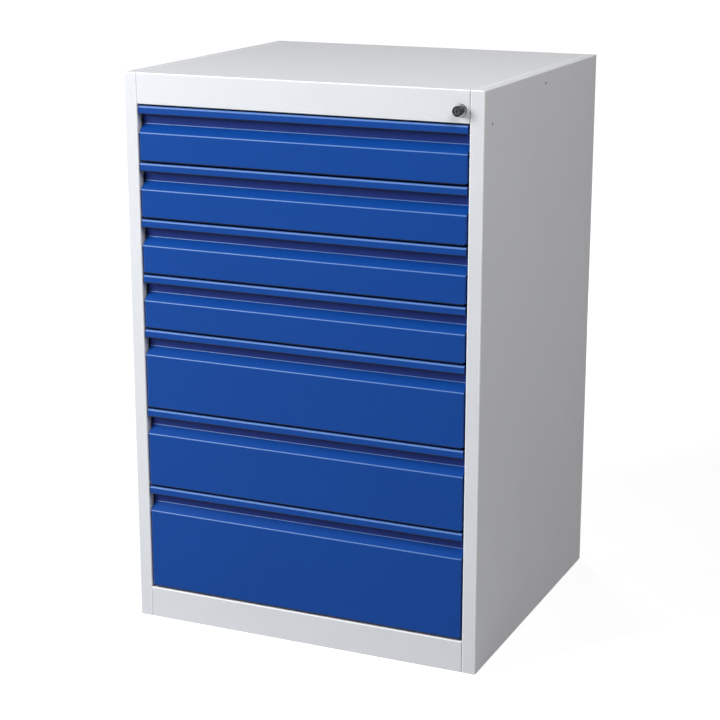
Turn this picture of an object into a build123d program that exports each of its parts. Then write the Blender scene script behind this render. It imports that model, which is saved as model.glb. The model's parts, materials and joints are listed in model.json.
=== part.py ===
from build123d import *

import os
from math import sqrt

# Steel workshop cabinet with seven drawers behind full-width grip fronts.
# Millimetres. +X is the viewer's right, -Y is the front, +Z is up, and the floor is z = 0.
# The origin is the middle of the footprint, which takes in the lock barrel that stands proud of the front.

# Overall size of the housing
WIDTH, DEPTH, HEIGHT = 660, 600, 1000
LOCK_PROUD = 16
FRONT = -(DEPTH + LOCK_PROUD) / 2 + LOCK_PROUD
BACK = FRONT + DEPTH
SIDE = WIDTH / 2

# Housing sheet metal
SKIN = 1.2
OUTER_BEND, SMALL_BEND = 2.0, 1.1
FLANGE, FLANGE_RETURN = 25, 15
TOP_STRIP, TOP_CORNER = 16, 12
SEAM, DECK_INSET = 0.5, 1
OPENING = SIDE - FLANGE
RAIL_HEIGHT, RAIL_RETURN, RAIL_HEM = 54, 20, 10
PLINTH_HEIGHT, PLINTH_RETURN = 57, 20
REAR_WRAP, REAR_FOLD = 26, 20
TOP_FOLD = 30
FLOOR_TOP, FLOOR_EDGE = 49, 30

# Slotted posts that carry the runners
POST_WALL, POST_FACE = 1.5, OPENING + 1
FRONT_POST = (FRONT + 60, FRONT + 100)
REAR_POST = (BACK - 80, BACK - 2 * SKIN)
POST_TOP = HEIGHT - TOP_FOLD - 2
SLOT_INSET, SLOT_WIDTH, SLOT_HEIGHT, SLOT_PITCH = 8, 4, 14, 50

# Drawers from the top down, with a small gap above, below and between their fronts
FRONT_HEIGHTS = [96.2] * 4 + [143.7] * 2 + [192.8]
FRONT_GAP = 3
DRAWER_SKIN, DRAWER_BEND = 1.0, 1.5
LIP, RECESS_DEPTH, RECESS_WALL, RECESS_MOUTH = 15, 16, 31.9, 46.4
LIP_RETURN, FRONT_RETURN = 5, 14
BOX_DEPTH, BOX_TOP_DROP, BOX_BOTTOM_RISE, BOX_HEM = 540, 12, 5, 8

# Telescopic runners: height, web and flange span of each member, counted inwards from the post
RUNNER_LENGTH, RUNNER_SHEET, RUNNER_RISE = 500, 1.5, 32.5
RUNNER_START = FRONT + 60
CABINET_MEMBER = {"height": 45, "web": (0, 1.5), "span": (0, 12)}
MIDDLE_MEMBER = {"height": 37, "web": (4.5, 6), "span": (4.5, 12)}
DRAWER_MEMBER = {"height": 29, "web": (12.5, 14), "span": (7.5, 14)}
BOX_SIDE = POST_FACE - DRAWER_MEMBER["span"][1]
STOP_LENGTH, STOP_GAP, STOP_HEIGHT, STOP_REACH = 10, 1, 20, 9
RUNNER_SCREW_Y = (FRONT + 86, BACK - 50)

# Central lock: the key turns a cam, whose pin lifts a bar with a hook for each drawer
LOCK_X, LOCK_Z = 289, HEIGHT - 33
ROSETTE_R, ROSETTE_THICK, ROSETTE_EDGE = 10.5, 2.5, 0.8
BARREL_R, BARREL_EDGE, BODY_R, BODY_LENGTH = 8.6, 1.2, 8, 22
PLUG_R, PLUG_GAP, PLUG_SUNK, PLUG_TAIL = 5.5, 0.3, 0.6, 2
KEYWAY = (1.6, 6.5, 9)
NUT_R, NUT_THICK = 12, 4
CAM_THICK, CAM_HUB_R, CAM_EAR_R, CAM_PIN_R, PIN_LENGTH = 2.5, 7, 4.5, 2.5, 13
BAR_LIFT = 12
CAM_REACH = BAR_LIFT / sqrt(2)
BAR_X, BAR_Y, BAR_BOTTOM = (308, 311), (FRONT + 34, FRONT + 54), 75
HEAD_X, HEAD_THICK, HEAD_Z = (277, BAR_X[0]), 3, (LOCK_Z - 12, LOCK_Z + 14)
HEAD_SLOT_PLAY, HEAD_SLOT_END = 0.8, 1
HOOK_Y, HOOK_RISE, HOOK_HEIGHT, HOOK_GAP = (FRONT + 46, FRONT + 49), 57, 8, 2
LUG_Y, LUG_RISE, LUG_HEIGHT = FRONT + 52, 67, 10
LUG_FOOT, LUG_LENGTH, LUG_THICK, LUG_REACH = 1.5, 14, 2.5, 8.5
GUIDE_SHEET, GUIDE_TAB, GUIDE_RIM, GUIDE_GAP = 1.5, 16, 4, 0.6

# Screws: head radius, head thickness, shank radius, shank length
RUNNER_SCREW = (4.5, 1.4, 2.4, 10)
PANEL_SCREW = (3.0, SKIN, 2.0, 9)
HOLE_GAP = 0.3
SIDE_SCREW = (FRONT + 303, HEIGHT - 21)
GUIDE_SCREW = (FRONT + 38, HEIGHT - 57)
BACK_SCREW_INSET, BACK_SCREW_HEIGHTS = 13, (60, 350, 640, 930)
BACK_SCREWS = [(x, z) for x in (BACK_SCREW_INSET - SIDE, SIDE - BACK_SCREW_INSET) for z in BACK_SCREW_HEIGHTS]


def block(x, y, z):
    """A box from its low and high ends along each axis."""
    size = [high - low for low, high in (x, y, z)]
    middle = [(high + low) / 2 for low, high in (x, y, z)]
    return Pos(*middle) * Box(*size)


def union(pieces):
    """One solid from pieces that touch or overlap."""
    whole = pieces[0]
    for piece in pieces[1:]:
        whole += piece
    return whole


def rod(radius, start, end):
    """A round bar between two points that differ along one axis."""
    axis = Vector(*end) - Vector(*start)
    place = Plane(origin=start, z_dir=axis)
    return place * Cylinder(radius, axis.length, align=(Align.CENTER, Align.CENTER, Align.MIN))


def edges_at(shape, axis, **place):
    """The straight edges along an axis whose middle lies at the coordinates given."""
    return [
        edge
        for edge in shape.edges().filter_by(axis)
        if all(abs(getattr(edge.center(), name) - value) < 0.01 for name, value in place.items())
    ]


def left_of(shape):
    """The same piece on the other side of the cabinet."""
    return mirror(shape, about=Plane.YZ)


def both(shape):
    """The right-hand piece and its mirror image, as separate solids."""
    return [shape, left_of(shape)]


def save(name, *solids):
    """Writes one piece, or a set of like pieces, as one file."""
    shape = solids[0] if len(solids) == 1 else Compound(children=list(solids))
    export_step(shape, f"parts/{name}.step")


def mitre(before, here, after, distance):
    """The point beside a corner, at the distance from both of its runs, on the right of the path."""
    first, second = (here - before).normalized(), (after - here).normalized()
    right = Vector(first.Y, -first.X)
    bisector = (right + Vector(second.Y, -second.X)).normalized()
    return here + bisector * (distance / bisector.dot(right))


def bent_sheet(points, thickness, radius):
    """A folded sheet's section: the path is one face and the metal is on its right."""
    path = [Vector(*point) for point in points]
    ends = [path[0] * 2 - path[1]] + path + [path[-1] * 2 - path[-2]]
    far_side = [mitre(ends[i], ends[i + 1], ends[i + 2], thickness) for i in range(len(path))]
    near_radii, far_radii = [], []
    for before, here, after in zip(path, path[1:], path[2:]):
        turns_left = (here - before).cross(after - here).Z > 0
        near_radii.append(radius if turns_left else radius + thickness)
        far_radii.append(radius + thickness if turns_left else radius)
    near = FilletPolyline(*path, radius=near_radii)
    far = FilletPolyline(*far_side, radius=far_radii)
    caps = [Line(path[0], far_side[0]), Line(path[-1], far_side[-1])]
    return make_face([*near.edges(), *far.edges(), *caps])


def drawer_levels():
    """Top and bottom height of each drawer front."""
    top = HEIGHT - RAIL_HEIGHT - FRONT_GAP
    levels = []
    for height in FRONT_HEIGHTS:
        levels.append((top, top - height))
        top -= height + FRONT_GAP
    return levels


LEVELS = drawer_levels()
BOX_BOTTOMS = [bottom + BOX_BOTTOM_RISE for _, bottom in LEVELS]
RUNNER_HEIGHTS = [bottom + RUNNER_RISE for bottom in BOX_BOTTOMS]
TOP_GUIDE_DROP, GUIDE_RISE = 64, 30
GUIDE_HEIGHTS = [HEIGHT - TOP_GUIDE_DROP] + [BOX_BOTTOMS[i] + GUIDE_RISE for i in (3, 6)]


def side_hole(y, z, radius):
    """A hole through the right-hand side panel and the fold behind it."""
    return rod(radius, (SIDE - 4 * SKIN, y, z), (SIDE + SKIN, y, z))


def side_panel(screws):
    """Right-hand side: wall, front flange with its return, top strip and foot flange."""
    seam_y = BACK - REAR_WRAP - SEAM
    panel = union([
        block((SIDE - SKIN, SIDE), (FRONT, seam_y), (0, HEIGHT)),
        block((OPENING, SIDE), (FRONT, FRONT + SKIN), (0, HEIGHT)),
        block((OPENING, OPENING + SKIN), (FRONT, FRONT + FLANGE_RETURN), (0, HEIGHT - SKIN)),
        block((SIDE - TOP_STRIP, SIDE), (FRONT, seam_y), (HEIGHT - SKIN, HEIGHT)),
        block((OPENING, SIDE), (FRONT, FRONT + TOP_CORNER), (HEIGHT - SKIN, HEIGHT)),
        block((OPENING, SIDE), (FRONT, seam_y), (0, SKIN)),
    ])
    outer = edges_at(panel, Axis.Z, X=SIDE, Y=FRONT)
    outer += edges_at(panel, Axis.Y, X=SIDE, Z=HEIGHT)
    outer += edges_at(panel, Axis.X, Y=FRONT, Z=HEIGHT)
    panel = fillet(outer, OUTER_BEND)
    strip = block((SIDE - TOP_STRIP, SIDE), (seam_y, BACK - SKIN), (HEIGHT - SKIN, HEIGHT))
    panel += fillet(edges_at(strip, Axis.Y, X=SIDE, Z=HEIGHT), SMALL_BEND)
    for y, z in screws:
        panel -= side_hole(y, z, PANEL_SCREW[0] + HOLE_GAP / 2)
    return panel


def top_panel():
    """Deck whose front edge is folded down into the rail, with edges tucked under the side strips."""
    edge = SIDE - TOP_STRIP - DECK_INSET
    wall = SIDE - SKIN
    rail_x = (-OPENING + SEAM, OPENING - SEAM)
    rail_bottom = HEIGHT - RAIL_HEIGHT
    notch = FRONT + TOP_CORNER + SEAM
    tuck_y = (FRONT + TOP_STRIP, BACK - REAR_WRAP - SEAM)
    tuck = union([
        block((edge - SKIN, edge), tuck_y, (HEIGHT - 2 * SKIN, HEIGHT)),
        block((edge - SKIN, wall), tuck_y, (HEIGHT - 2 * SKIN, HEIGHT - SKIN)),
        block((wall - SKIN, wall), tuck_y, (HEIGHT - TOP_FOLD, HEIGHT - SKIN)),
    ])
    tab = block(
        (rail_x[1] - SKIN, rail_x[1]), (FRONT, FRONT + FLANGE_RETURN), (rail_bottom, HEIGHT - SKIN)
    )
    panel = union([
        block((-edge, edge), (notch, BACK), (HEIGHT - SKIN, HEIGHT)),
        block(rail_x, (FRONT, notch), (HEIGHT - SKIN, HEIGHT)),
        block(rail_x, (FRONT, FRONT + SKIN), (rail_bottom, HEIGHT)),
        block(rail_x, (FRONT, FRONT + RAIL_RETURN), (rail_bottom, rail_bottom + SKIN)),
        block(
            rail_x,
            (FRONT + RAIL_RETURN - SKIN, FRONT + RAIL_RETURN),
            (rail_bottom, rail_bottom + RAIL_HEM),
        ),
        block((-edge, edge), (BACK - SKIN, BACK), (HEIGHT - REAR_FOLD, HEIGHT)),
        *both(tuck),
        *both(tab),
    ])
    bends = edges_at(panel, Axis.X, Y=FRONT, Z=HEIGHT) + edges_at(panel, Axis.X, Y=BACK, Z=HEIGHT)
    panel = fillet(bends, OUTER_BEND)
    panel = fillet(edges_at(panel, Axis.X, Y=FRONT, Z=rail_bottom), SMALL_BEND)
    panel -= rod(BODY_R + HOLE_GAP, (LOCK_X, FRONT - 1, LOCK_Z), (LOCK_X, FRONT + 2 * SKIN, LOCK_Z))
    for x in (-1, 1):
        start = (x * (SIDE - 4 * SKIN), *SIDE_SCREW)
        panel -= rod(PANEL_SCREW[2] + HOLE_GAP, start, (x * SIDE, *SIDE_SCREW))
    return panel


def back_panel():
    """Rear sheet that wraps round both rear corners on to the sides."""
    web = (BACK - 2 * SKIN, BACK - SKIN)
    wrap = block((SIDE - SKIN, SIDE), (BACK - REAR_WRAP, web[1]), (0, HEIGHT - SKIN))
    panel = union([block((-SIDE, SIDE), web, (0, HEIGHT - SKIN)), *both(wrap)])
    corners = edges_at(panel, Axis.Z, X=SIDE, Y=web[1]) + edges_at(panel, Axis.Z, X=-SIDE, Y=web[1])
    panel = fillet(corners, OUTER_BEND)
    for x, z in BACK_SCREWS:
        panel -= rod(PANEL_SCREW[0] + HOLE_GAP / 2, (x, web[0] - 1, z), (x, web[1] + 1, z))
    return panel


def plinth_panel():
    """Front kick plate under the last drawer, flush with the side flanges."""
    x = (-OPENING + SEAM, OPENING - SEAM)
    tab = block((x[1] - SKIN, x[1]), (FRONT, FRONT + FLANGE_RETURN), (0, PLINTH_HEIGHT))
    panel = union([
        block(x, (FRONT, FRONT + SKIN), (0, PLINTH_HEIGHT)),
        block(x, (FRONT, FRONT + PLINTH_RETURN), (PLINTH_HEIGHT - SKIN, PLINTH_HEIGHT)),
        block(x, (FRONT, FRONT + PLINTH_RETURN), (0, SKIN)),
        *both(tab),
    ])
    return fillet(edges_at(panel, Axis.X, Y=FRONT, Z=PLINTH_HEIGHT), OUTER_BEND)


def floor_panel():
    """Tray-shaped floor of the housing, folded down along its edges and fixed to the posts."""
    y = (FRONT + PLINTH_RETURN + SEAM, BACK - 2 * SKIN)
    z = (FLOOR_TOP - FLOOR_EDGE, FLOOR_TOP)
    plate = block((-POST_FACE, POST_FACE), y, z)
    return plate - block(
        (-POST_FACE + SKIN, POST_FACE - SKIN), (y[0] + SKIN, y[1] - SKIN), (z[0], z[1] - SKIN)
    )


def post(y, screw_y, closed):
    """Right-hand slotted post: an open channel at the front and a closed tube at the rear."""
    wall = SIDE - SKIN
    z = (SKIN, POST_TOP)
    outer_end = wall - POST_WALL if closed else wall
    shape = block((POST_FACE, wall), y, z)
    shape -= block((POST_FACE + POST_WALL, outer_end), (y[0] + POST_WALL, y[1] - POST_WALL), z)
    slot_y = (y[0] + SLOT_INSET, y[0] + SLOT_INSET + SLOT_WIDTH)
    rows = int((POST_TOP - 2 * SLOT_PITCH) / SLOT_PITCH) + 1
    through = (POST_FACE - 1, POST_FACE + POST_WALL + 1)
    for row in range(rows):
        low = SLOT_PITCH * (row + 1)
        shape -= block(through, slot_y, (low, low + SLOT_HEIGHT))
    for z_screw in RUNNER_HEIGHTS:
        ends = [(x, screw_y, z_screw) for x in through]
        shape -= rod(RUNNER_SCREW[2] + HOLE_GAP, *ends)
    if closed:
        x = SIDE - BACK_SCREW_INSET
        for z_screw in BACK_SCREW_HEIGHTS:
            shape -= rod(PANEL_SCREW[2] + HOLE_GAP, (x, y[1] - 2 * POST_WALL, z_screw), (x, y[1], z_screw))
    return shape


def runner(member, height, length):
    """One right-hand runner member: a C-shaped rail with its web on one side."""
    half, y = member["height"] / 2, (RUNNER_START, RUNNER_START + length)
    web_x = [POST_FACE - offset for offset in reversed(member["web"])]
    span_x = [POST_FACE - offset for offset in reversed(member["span"])]
    return union([
        block(web_x, y, (height - half, height + half)),
        block(span_x, y, (height + half - RUNNER_SHEET, height + half)),
        block(span_x, y, (height - half, height - half + RUNNER_SHEET)),
    ])


def cabinet_runner(height):
    """The fixed member, longer than the others to hold the rubber stop, with its screw holes."""
    shape = runner(CABINET_MEMBER, height, RUNNER_LENGTH + STOP_LENGTH + 2 * STOP_GAP)
    for y in RUNNER_SCREW_Y:
        ends = [(x, y, height) for x in (POST_FACE - 2 * RUNNER_SHEET, POST_FACE + 1)]
        shape -= rod(RUNNER_SCREW[2] + HOLE_GAP, *ends)
    return shape


def runner_screws():
    """Pan-head screws that hold every fixed runner to its two posts."""
    head_r, head_thick, shank_r, shank_length = RUNNER_SCREW
    seat = POST_FACE - RUNNER_SHEET
    screws = []
    for height in RUNNER_HEIGHTS:
        for y in RUNNER_SCREW_Y:
            head = rod(head_r, (seat - head_thick, y, height), (seat, y, height))
            shank = rod(shank_r, (seat, y, height), (seat + shank_length, y, height))
            screws += both(head + shank)
    return screws


def runner_stops():
    """Rubber blocks at the rear of the fixed runners, which the closing drawers meet."""
    y = RUNNER_START + RUNNER_LENGTH + STOP_GAP
    x = (POST_FACE - STOP_REACH, POST_FACE - RUNNER_SHEET)
    stops = []
    for height in RUNNER_HEIGHTS:
        stops += both(block(x, (y, y + STOP_LENGTH), (height - STOP_HEIGHT / 2, height + STOP_HEIGHT / 2)))
    return stops


def flush_screw(outside, inwards):
    """A flat-head screw whose head lies in the sheet's own thickness."""
    head_r, head_thick, shank_r, shank_length = PANEL_SCREW
    face, direction = Vector(*outside), Vector(*inwards)
    seat, tip = face + direction * head_thick, face + direction * shank_length
    return rod(head_r, tuple(face), tuple(seat)) + rod(shank_r, tuple(seat), tuple(tip))


def panel_screws():
    """Screws through the sides into the top panel and the bar guide, and through the back into the posts."""
    right = flush_screw((SIDE, *SIDE_SCREW), (-1, 0, 0))
    guide = flush_screw((SIDE, *GUIDE_SCREW), (-1, 0, 0))
    back = [flush_screw((x, BACK - SKIN, z), (0, -1, 0)) for x, z in BACK_SCREWS]
    return [*both(right), guide, *back]


def drawer_front(top, bottom):
    """One bent sheet: flat face, slope into the finger recess, recess wall, top fold and lip."""
    inset = DRAWER_SKIN
    section = bent_sheet(
        [
            (FRONT + FRONT_RETURN, bottom),
            (FRONT, bottom),
            (FRONT, top - RECESS_MOUTH),
            (FRONT + RECESS_DEPTH, top - RECESS_WALL),
            (FRONT + RECESS_DEPTH, top - inset),
            (FRONT + inset, top - inset),
            (FRONT + inset, top - LIP + inset),
            (FRONT + LIP_RETURN, top - LIP + inset),
        ],
        DRAWER_SKIN,
        DRAWER_BEND,
    )
    half = OPENING - FRONT_GAP
    sheet = extrude(Plane.YZ.offset(-half) * section, 2 * half)
    end = block(
        (half - DRAWER_SKIN, half),
        (FRONT + DRAWER_SKIN / 2, FRONT + FRONT_RETURN),
        (bottom + DRAWER_SKIN / 2, top - RECESS_MOUTH - DRAWER_BEND),
    )
    return union([sheet, *both(end)])


def drawer_box(top, bottom):
    """Open tray of folded sheet, with a hem along the top of both sides."""
    y = (FRONT + RECESS_DEPTH + DRAWER_SKIN, FRONT + RECESS_DEPTH + DRAWER_SKIN + BOX_DEPTH)
    z = (bottom + BOX_BOTTOM_RISE, top - BOX_TOP_DROP)
    inside_x = (-BOX_SIDE + DRAWER_SKIN, BOX_SIDE - DRAWER_SKIN)
    inside_y = (y[0] + DRAWER_SKIN, y[1] - DRAWER_SKIN)
    tray = block((-BOX_SIDE, BOX_SIDE), y, z)
    tray -= block(inside_x, inside_y, (z[0] + DRAWER_SKIN, z[1]))
    hem = block((BOX_SIDE - BOX_HEM, BOX_SIDE), y, (z[1] - DRAWER_SKIN, z[1]))
    return union([tray, *both(hem)])


def lock_lug(box_bottom):
    """Angle on the drawer's right side that the hook blocks."""
    z = (box_bottom + LUG_RISE, box_bottom + LUG_RISE + LUG_HEIGHT)
    foot = block((BOX_SIDE, BOX_SIDE + LUG_FOOT), (LUG_Y, LUG_Y + LUG_LENGTH), z)
    return foot + block((BOX_SIDE, BOX_SIDE + LUG_REACH), (LUG_Y, LUG_Y + LUG_THICK), z)


def lock_rod(radius, start, end):
    """A round bar on the lock's axis between two depths."""
    return rod(radius, (LOCK_X, start, LOCK_Z), (LOCK_X, end, LOCK_Z))


def lock_housing():
    """Fixed lock body: barrel in front of the rail, rosette on it and threaded body behind."""
    face, seat = FRONT - LOCK_PROUD, FRONT - ROSETTE_THICK
    barrel = lock_rod(BARREL_R, face, seat)
    rosette = lock_rod(ROSETTE_R, seat, FRONT)
    body = lock_rod(BODY_R, FRONT, FRONT + BODY_LENGTH)
    shape = fillet(edges_round(barrel, face), BARREL_EDGE)
    shape += chamfer(edges_round(rosette, seat), ROSETTE_EDGE) + body
    return shape - lock_rod(PLUG_R + PLUG_GAP, face - 1, FRONT + BODY_LENGTH + 1)


def edges_round(shape, y):
    """The circular edges of a turned piece at one depth."""
    return [e for e in shape.edges().filter_by(GeomType.CIRCLE) if abs(e.center().Y - y) < 0.01]


def lock_nut():
    """Hexagon nut that clamps the lock body behind the rail."""
    face = Plane(origin=(LOCK_X, FRONT + SKIN, LOCK_Z), z_dir=(0, 1, 0))
    hexagon = RegularPolygon(NUT_R, 6) - Circle(BODY_R + HOLE_GAP)
    return extrude(face * hexagon, NUT_THICK)


def lock_cylinder():
    """The plug that the key turns, with its keyway."""
    start = FRONT - LOCK_PROUD + PLUG_SUNK
    plug = lock_rod(PLUG_R, start, FRONT + BODY_LENGTH + PLUG_TAIL)
    width, height, depth = KEYWAY
    keyway = block(
        (LOCK_X - width / 2, LOCK_X + width / 2),
        (start - 1, start + depth),
        (LOCK_Z - height / 2, LOCK_Z + height / 2),
    )
    return plug - keyway


def lock_cam():
    """Cam plate on the plug's end, with the pin that stands in the bar head's slot."""
    start = FRONT + BODY_LENGTH + PLUG_TAIL
    back = start + CAM_THICK
    pin_x, pin_z = LOCK_X - CAM_REACH / sqrt(2), LOCK_Z - CAM_REACH / sqrt(2)
    hub = lock_rod(CAM_HUB_R, start, back)
    ear = rod(CAM_EAR_R, (pin_x, start, pin_z), (pin_x, back, pin_z))
    pin = rod(CAM_PIN_R, (pin_x, back, pin_z), (pin_x, back + PIN_LENGTH, pin_z))
    return hub + ear + pin


def bar_head():
    """Plate at the top of the bar, slotted across for the cam's pin."""
    plate = block(HEAD_X, (BAR_Y[0], BAR_Y[0] + HEAD_THICK), HEAD_Z)
    rest_z = LOCK_Z - BAR_LIFT / 2
    half = CAM_PIN_R + HEAD_SLOT_PLAY
    end = CAM_PIN_R + HEAD_SLOT_END
    slot_x = (LOCK_X - CAM_REACH - end, LOCK_X - CAM_REACH / sqrt(2) + end)
    return plate - block(slot_x, (BAR_Y[0] - 1, BAR_Y[1]), (rest_z - half, rest_z + half))


def bar_hook(box_bottom):
    """Tab on the bar, just under the drawer's lug while the lock is open."""
    z = (box_bottom + HOOK_RISE, box_bottom + HOOK_RISE + HOOK_HEIGHT)
    return block((BOX_SIDE + HOOK_GAP, BAR_X[0]), HOOK_Y, z)


def bar_guide(height):
    """Bracket on the side panel with an eye that the bar slides through."""
    y = (BAR_Y[0] - GUIDE_RIM, BAR_Y[1] + GUIDE_RIM)
    wall = SIDE - SKIN
    plate = block((BAR_X[0] - GUIDE_RIM, wall), y, (height, height + GUIDE_SHEET))
    tab = block((wall - GUIDE_SHEET, wall), y, (height, height + GUIDE_TAB))
    eye = block(
        (BAR_X[0] - GUIDE_GAP, BAR_X[1] + GUIDE_GAP),
        (BAR_Y[0] - GUIDE_GAP, BAR_Y[1] + GUIDE_GAP),
        (height - 1, height + 2 * GUIDE_SHEET),
    )
    guide = plate + tab - eye
    if height == GUIDE_HEIGHTS[0]:
        guide -= side_hole(*GUIDE_SCREW, PANEL_SCREW[2] + HOLE_GAP)
    return guide


def main():
    os.makedirs("parts", exist_ok=True)

    # Housing
    save("right_side_panel", side_panel([SIDE_SCREW, GUIDE_SCREW]))
    save("left_side_panel", left_of(side_panel([SIDE_SCREW])))
    save("top_panel", top_panel())
    save("back_panel", back_panel())
    save("plinth_panel", plinth_panel())
    save("floor_panel", floor_panel())
    front_post = post(FRONT_POST, RUNNER_SCREW_Y[0], closed=False)
    rear_post = post(REAR_POST, RUNNER_SCREW_Y[1], closed=True)
    save("front_right_post", front_post)
    save("front_left_post", left_of(front_post))
    save("rear_right_post", rear_post)
    save("rear_left_post", left_of(rear_post))
    save("panel_screws", *panel_screws())
    save("runner_screws", *runner_screws())
    save("runner_stops", *runner_stops())

    # Drawers and their runners, numbered from the top
    for number, (top, bottom) in enumerate(LEVELS, start=1):
        height = RUNNER_HEIGHTS[number - 1]
        drawer_member = runner(DRAWER_MEMBER, height, RUNNER_LENGTH)
        save(f"drawer_{number}_front", drawer_front(top, bottom))
        save(f"drawer_{number}_box", drawer_box(top, bottom))
        save(f"drawer_{number}_runners", *both(drawer_member), lock_lug(BOX_BOTTOMS[number - 1]))
        save(f"middle_runners_{number}", *both(runner(MIDDLE_MEMBER, height, RUNNER_LENGTH)))
        save(f"cabinet_runners_{number}", *both(cabinet_runner(height)))

    # Central lock
    save("lock_housing", lock_housing())
    save("lock_nut", lock_nut())
    save("lock_cylinder", lock_cylinder())
    save("lock_cam", lock_cam())
    save("locking_bar", block(BAR_X, BAR_Y, (BAR_BOTTOM, HEAD_Z[1])))
    save("bar_head", bar_head())
    save("bar_hooks", *[bar_hook(bottom) for bottom in BOX_BOTTOMS])
    save("bar_guides", *[bar_guide(height) for height in GUIDE_HEIGHTS])


main()
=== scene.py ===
import json
import math

import bpy
import numpy as np
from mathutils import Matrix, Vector

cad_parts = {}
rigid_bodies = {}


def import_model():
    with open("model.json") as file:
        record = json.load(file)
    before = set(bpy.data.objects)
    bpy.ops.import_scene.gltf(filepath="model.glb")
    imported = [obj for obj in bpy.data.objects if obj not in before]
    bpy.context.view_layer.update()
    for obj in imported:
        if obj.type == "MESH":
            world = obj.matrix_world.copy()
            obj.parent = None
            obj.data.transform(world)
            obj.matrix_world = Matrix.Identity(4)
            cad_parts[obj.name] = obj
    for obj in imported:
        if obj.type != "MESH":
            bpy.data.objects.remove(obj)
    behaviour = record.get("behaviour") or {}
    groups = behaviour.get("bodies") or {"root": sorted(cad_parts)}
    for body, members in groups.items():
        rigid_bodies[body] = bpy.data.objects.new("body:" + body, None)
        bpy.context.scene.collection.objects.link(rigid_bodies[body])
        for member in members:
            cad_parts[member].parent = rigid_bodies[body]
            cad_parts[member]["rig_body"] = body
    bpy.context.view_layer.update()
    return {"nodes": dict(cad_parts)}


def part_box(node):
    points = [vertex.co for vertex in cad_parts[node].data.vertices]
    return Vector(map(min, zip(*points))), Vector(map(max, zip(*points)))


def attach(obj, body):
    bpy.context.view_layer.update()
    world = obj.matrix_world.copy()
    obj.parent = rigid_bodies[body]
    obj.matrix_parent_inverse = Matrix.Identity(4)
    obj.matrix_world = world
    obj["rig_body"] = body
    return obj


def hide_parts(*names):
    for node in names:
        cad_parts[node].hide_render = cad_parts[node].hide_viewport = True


bl_info = {
    "name": "Steel drawer cabinet",
    "version": (1, 0, 0),
    "blender": (4, 5, 0),
    "location": "View3D > Sidebar > Cabinet",
    "description": "Builds the folded sheets, runners, lock and finishes of a seven-drawer steel cabinet",
    "category": "Object",
}

# The frame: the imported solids, in metres, with -Y at the drawer fronts and the floor at z = 0
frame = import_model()
NODES = frame["nodes"]
DRAWERS = range(1, 8)

# Steps in each bend, and points round a turned piece
BEND_STEPS = 8
ROUND_STEPS = 64

# How far a piece may stand outside its CAD node's box, and the width under which a face is part of a bend
SLACK = 0.0001
NARROW = 0.0013

# Angle between two faces over which their edge is sharp, in a piece built here and in a CAD node
SHARP = math.radians(32)
CAD_SHARP = math.radians(40)


def length(name, description, default):
    """A size in metres."""
    return bpy.props.FloatProperty(
        name=name, description=description, default=default, unit="LENGTH", precision=4
    )


def share(name, description, default):
    """A plain number from 0 to 1."""
    return bpy.props.FloatProperty(
        name=name, description=description, default=default, min=0.0, max=1.0, subtype="FACTOR"
    )


def colour(name, description, default):
    """A linear colour."""
    return bpy.props.FloatVectorProperty(
        name=name, description=description, default=default, size=3, min=0.0, max=1.0, subtype="COLOR"
    )


def angle(name, description, default):
    """An angle in radians."""
    return bpy.props.FloatProperty(name=name, description=description, default=default, subtype="ANGLE")


def spot(name, description, default):
    """A point in metres."""
    return bpy.props.FloatVectorProperty(
        name=name, description=description, default=default, size=3, unit="LENGTH"
    )


def power(name, description, default):
    """The power of a lamp in watts."""
    return bpy.props.FloatProperty(name=name, description=description, default=default, min=0.0)


class HousingSizes(bpy.types.PropertyGroup):
    """Sizes of the housing's folded sheets."""

    sheet: length("Sheet", "Thickness of the housing's sheet", 0.0012)
    side_bend: length("Side bend", "Outer radius of the upright front bends", 0.0026)
    top_bend: length("Top bend", "Outer radius of the bends round the top", 0.0021)
    rear_bend: length("Rear bend", "Outer radius of the back panel's corners", 0.0020)
    small_bend: length("Small bend", "Outer radius of the hidden folds", 0.0016)
    flange: length("Flange", "Width of the front flange beside the drawers", 0.025)
    flange_return: length("Flange return", "Depth of the fold beside the drawers", 0.015)
    seam: length("Seam", "Gap between panels that meet", 0.0004)
    top_strip: length("Top strip", "Width of the side panel's strip along the top", 0.016)
    # The edge line is a painted highlight: its narrow faces take the pale bend colour
    highlight_line: length("Edge line", "Width of the thin coat beside the seams on the top", 0.0024)
    top_corner: length("Top corner", "Depth of the flange's top in front of the deck", 0.012)
    rear_fold: length("Rear fold", "Height of the deck's fold behind", 0.020)
    rail_height: length("Rail", "Height of the rail over the drawers", 0.054)
    rail_return: length("Rail return", "Depth of the fold under the rail", 0.020)
    rail_hem: length("Rail hem", "Height of the upturned edge behind the rail", 0.010)
    plinth_return: length("Plinth return", "Depth of the plinth's folds", 0.020)
    tuck: length("Tuck", "Height of the deck's fold inside each side", 0.030)
    screw_hole: length("Screw hole", "Radius of the holes for the flush screws", 0.00315)
    screw_head: length("Screw head", "Thickness of a flush screw's head", 0.0012)
    screw_shank: length("Screw shank", "Radius of a flush screw's shank", 0.0020)
    floor_edge: length("Floor edge", "Rounding of the floor's edges", 0.0004)
    post_edge: length("Post edge", "Rounding of the posts' edges", 0.0003)


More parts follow.
